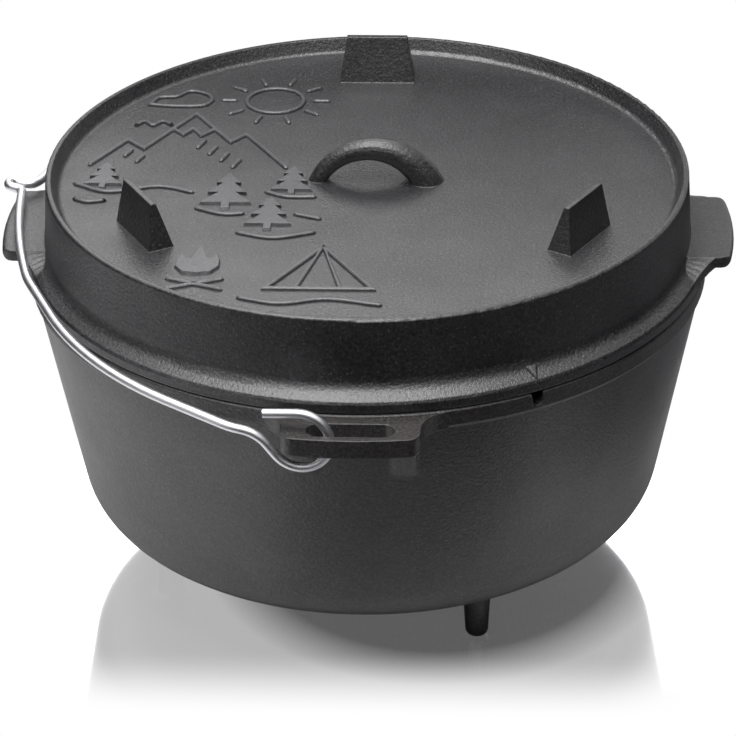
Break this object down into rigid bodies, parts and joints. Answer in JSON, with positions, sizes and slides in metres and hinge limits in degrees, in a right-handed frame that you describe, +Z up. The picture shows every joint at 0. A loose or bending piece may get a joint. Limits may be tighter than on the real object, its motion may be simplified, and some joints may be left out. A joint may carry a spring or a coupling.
{
  "type": "camp dutch oven",
  "caption": "Round cast-iron camp pot on legs with a flanged lid that carries coals, lid feet and a loop handle, and a wire bail that swings in slotted ears",
  "frame": {"origin": "On the pot's axis, at the level of the ground that its three legs stand on", "axes": "+Z up along the pot's axis; +Y through the two slotted ears, the front ear on -Y; +X through the lid's two grips, the bail parked over the grip on -X"},
  "size_m": [0.3994, 0.414, 0.2505],
  "materials": {
    "pot_iron": "dark grey seasoned sand casting, fine pebbled grain, satin sheen",
    "lid_iron": "dark grey seasoned sand casting, fine pebbled grain, satin sheen",
    "bail_wire": "bright zinc-plated drawn wire, smooth"
  },
  "bodies": {
    "pot": {"pot": "pot_iron"},
    "lid": {"lid": "lid_iron"},
    "bail": {"bail": "bail_wire"}
  },
  "joints": [
    {"name": "bail_swing", "type": "hinge", "parent": "pot", "child": "bail", "pos_m": [0, 0, 0.1795], "axis": [0.1288, 0.9916, 0.0101], "range_deg": [0, 160]},
    {"name": "lid_tip", "type": "hinge", "parent": "pot", "child": "lid", "pos_m": [-0.183, 0, 0.215], "axis": [0, -1, 0], "range_deg": [0, 75]}
  ]
}
